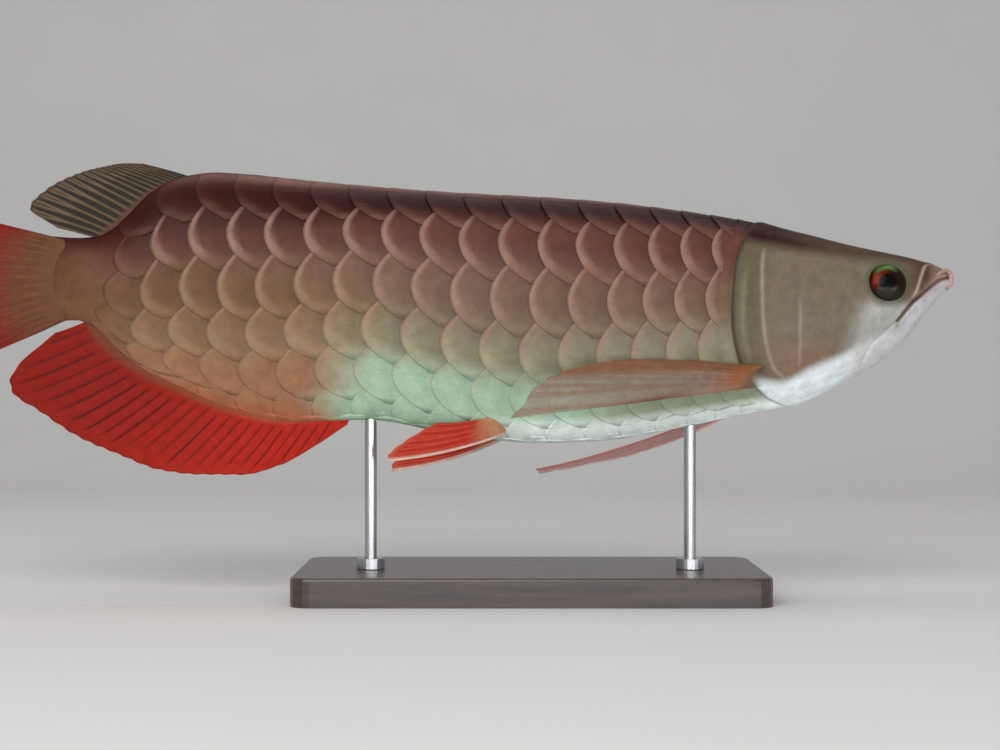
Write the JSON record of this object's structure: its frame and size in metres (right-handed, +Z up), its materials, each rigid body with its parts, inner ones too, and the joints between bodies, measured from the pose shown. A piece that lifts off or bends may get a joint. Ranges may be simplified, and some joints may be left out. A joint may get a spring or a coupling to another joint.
{
  "type": "asian arowana display model",
  "caption": "Life-size Asian arowana, red variety, swimming and slightly banked, with large raised scales, rayed fins and chin barbels, held over a flat base by short rods.",
  "frame": {"origin": "middle of the underside of the stand's base, on the surface it rests on", "axes": "+X towards the fish's snout, +Y towards its left side, +Z up"},
  "size_m": [0.5248, 0.1303, 0.2174],
  "materials": {
    "skin_head": "wet fish skin, grey-olive with a brown crown",
    "jaw_pale": "wet fish skin, pale lilac-white",
    "scales": "large pearly scales with pale rims, maroon on the back and mint below",
    "fin_brown": "thin translucent membrane with pale rays",
    "fin_red": "thin red membrane with rays",
    "fin_amber": "thin amber membrane with rays",
    "eye": "clear gloss over a red-brown iris",
    "barbel": "soft pink-brown skin",
    "stand_base": "satin black",
    "stand_rod": "brushed"
  },
  "bodies": {
    "root": {"head": "skin_head", "lower_jaw": "jaw_pale", "trunk": "scales", "tail_stalk": "scales", "dorsal_fin": "fin_brown", "anal_fin": "fin_red", "caudal_fin": "fin_red", "pectoral_fin_left": "fin_amber", "pectoral_fin_right": "fin_amber", "pelvic_fin_left": "fin_red", "pelvic_fin_right": "fin_red", "eye_left": "eye", "eye_right": "eye", "barbel_left": "barbel", "barbel_right": "barbel", "stand_base": "stand_base", "stand_rod_front": "stand_rod", "stand_rod_rear": "stand_rod"}
  },
  "joints": []
}
